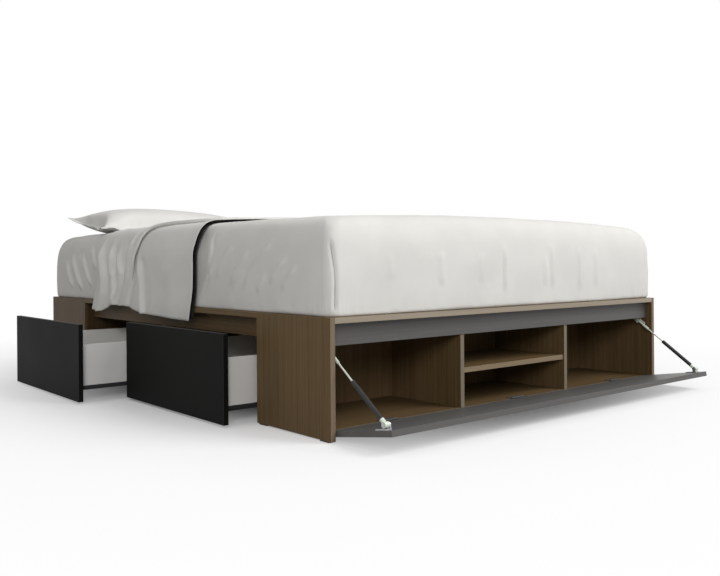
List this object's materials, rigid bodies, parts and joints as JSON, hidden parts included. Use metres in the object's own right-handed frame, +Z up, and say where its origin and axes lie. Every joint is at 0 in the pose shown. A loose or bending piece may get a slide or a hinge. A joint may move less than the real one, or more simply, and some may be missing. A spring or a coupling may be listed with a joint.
{
  "type": "platform storage bed",
  "caption": "Low queen platform bed with finger-gap storage drawers along one side and a drop-down flap on stays over an open cabinet at the foot, made up with bedding.",
  "frame": {"origin": "on the floor under the middle of the platform, at the foot of the middle glide under the centre spine", "axes": "+Z up, +Y towards the head, so the foot flap faces -Y and the drawers open towards -X"},
  "size_m": [1.8879, 2.2973, 0.7228],
  "materials": {
    "walnut_laminate": "matt walnut woodgrain laminate with a lighter edge band",
    "charcoal_laminate": "matt charcoal laminate with a faint grain",
    "black_front": "near-black matt front with a thin pale edge line",
    "drawer_box_grey": "light grey melamine",
    "pine": "planed pine",
    "zinc_steel": "zinc-plated steel",
    "dark_steel": "dark painted steel",
    "strut_black": "black tube with a bright rod",
    "pale_plastic": "pale moulded plastic",
    "dark_plastic": "dark moulded plastic",
    "fitted_sheet": "fine white cotton sheeting stretched over the mattress",
    "pillowcase": "fine white cotton pillowcase",
    "top_sheet_cotton": "light grey-white cotton sheet"
  },
  "bodies": {
    "carcass": {"foot_side_panel_left": "walnut_laminate", "foot_side_panel_right": "walnut_laminate", "head_side_panel_left": "walnut_laminate", "head_side_panel_right": "walnut_laminate", "far_side_panel": "walnut_laminate", "foot_top_board": "walnut_laminate", "head_top_board": "walnut_laminate", "side_top_boards": "walnut_laminate", "foot_rail": "charcoal_laminate", "side_rails": "walnut_laminate", "slat_ledges": "pine", "slats": "pine", "centre_spine": "walnut_laminate", "foot_floor_board": "walnut_laminate", "foot_back_board": "walnut_laminate", "divider_left": "walnut_laminate", "divider_right": "walnut_laminate", "centre_shelf": "walnut_laminate", "shelf_pins": "zinc_steel", "drawer_partition": "walnut_laminate", "head_partition": "walnut_laminate", "head_end_panel": "walnut_laminate", "floor_glides": "dark_plastic", "cam_locks": "zinc_steel", "runner_battens": "pine", "runner_tracks": "dark_steel", "hinge_leaves_cabinet": "zinc_steel", "hinge_pins": "zinc_steel", "stay_panel_plates": "pale_plastic", "mattress": "fitted_sheet", "pillow": "pillowcase", "top_sheet": "top_sheet_cotton"},
    "flap": {"flap": "charcoal_laminate", "hinge_leaves_flap": "zinc_steel", "stay_flap_brackets": "zinc_steel"},
    "stay_left": {"stay_left_strut": "strut_black", "stay_left_end_fitting": "pale_plastic"},
    "stay_left_guide": {"stay_left_guide": "pale_plastic"},
    "stay_right": {"stay_right_strut": "strut_black", "stay_right_end_fitting": "pale_plastic"},
    "stay_right_guide": {"stay_right_guide": "pale_plastic"},
    "drawer_1": {"drawer_1_front": "black_front", "drawer_1_inner_front": "drawer_box_grey", "drawer_1_near_side": "drawer_box_grey", "drawer_1_far_side": "drawer_box_grey", "drawer_1_back": "drawer_box_grey", "drawer_1_bottom": "drawer_box_grey", "drawer_1_runners": "dark_steel"},
    "drawer_1_rear_rollers": {"drawer_1_rear_rollers": "pale_plastic"},
    "drawer_1_track_rollers": {"drawer_1_track_rollers": "pale_plastic"},
    "drawer_2": {"drawer_2_front": "black_front", "drawer_2_inner_front": "drawer_box_grey", "drawer_2_near_side": "drawer_box_grey", "drawer_2_far_side": "drawer_box_grey", "drawer_2_back": "drawer_box_grey", "drawer_2_bottom": "drawer_box_grey", "drawer_2_runners": "dark_steel"},
    "drawer_2_rear_rollers": {"drawer_2_rear_rollers": "pale_plastic"},
    "drawer_2_track_rollers": {"drawer_2_track_rollers": "pale_plastic"}
  },
  "joints": [
    {"name": "flap_hinge", "type": "hinge", "parent": "carcass", "child": "flap", "pos_m": [0, -1.0132, 0.0298], "axis": [1, 0, 0], "range_deg": [-81, 0]},
    {"name": "stay_left_pivot", "type": "hinge", "parent": "flap", "child": "stay_left", "pos_m": [-0.759, -1.21986, 0.07235], "axis": [1, 0, 0], "range_deg": [0, 40.5]},
    {"name": "stay_left_guide_swivel", "type": "hinge", "parent": "carcass", "child": "stay_left_guide", "pos_m": [-0.759, -0.98855, 0.23936], "axis": [1, 0, 0], "range_deg": [-40.5, 0]},
    {"name": "stay_right_pivot", "type": "hinge", "parent": "flap", "child": "stay_right", "pos_m": [0.759, -1.21986, 0.07235], "axis": [1, 0, 0], "range_deg": [0, 40.5]},
    {"name": "stay_right_guide_swivel", "type": "hinge", "parent": "carcass", "child": "stay_right_guide", "pos_m": [0.759, -0.98855, 0.23936], "axis": [1, 0, 0], "range_deg": [-40.5, 0]},
    {"name": "drawer_1_slide", "type": "slide", "parent": "carcass", "child": "drawer_1", "axis": [-1, 0, 0], "range_m": [-0.11, 0.34]},
    {"name": "drawer_1_rear_roller_spin", "type": "hinge", "parent": "drawer_1", "child": "drawer_1_rear_rollers", "pos_m": [-0.297, -0.35525, 0.0357], "axis": [0, 1, 0], "continuous": true},
    {"name": "drawer_1_track_roller_spin", "type": "hinge", "parent": "carcass", "child": "drawer_1_track_rollers", "pos_m": [-0.759, -0.35525, 0.0357], "axis": [0, 1, 0], "continuous": true},
    {"name": "drawer_2_slide", "type": "slide", "parent": "carcass", "child": "drawer_2", "axis": [-1, 0, 0], "range_m": [-0.277, 0.173]},
    {"name": "drawer_2_rear_roller_spin", "type": "hinge", "parent": "drawer_2", "child": "drawer_2_rear_rollers", "pos_m": [-0.464, 0.32225, 0.0357], "axis": [0, 1, 0], "continuous": true},
    {"name": "drawer_2_track_roller_spin", "type": "hinge", "parent": "carcass", "child": "drawer_2_track_rollers", "pos_m": [-0.759, 0.32225, 0.0357], "axis": [0, 1, 0], "continuous": true}
  ],
  "couplings": [
    {"joint": "stay_left_pivot", "follows": "flap_hinge", "ratio": -0.5},
    {"joint": "stay_left_guide_swivel", "follows": "flap_hinge", "ratio": 0.5},
    {"joint": "stay_right_pivot", "follows": "flap_hinge", "ratio": -0.5},
    {"joint": "stay_right_guide_swivel", "follows": "flap_hinge", "ratio": 0.5}
  ]
}
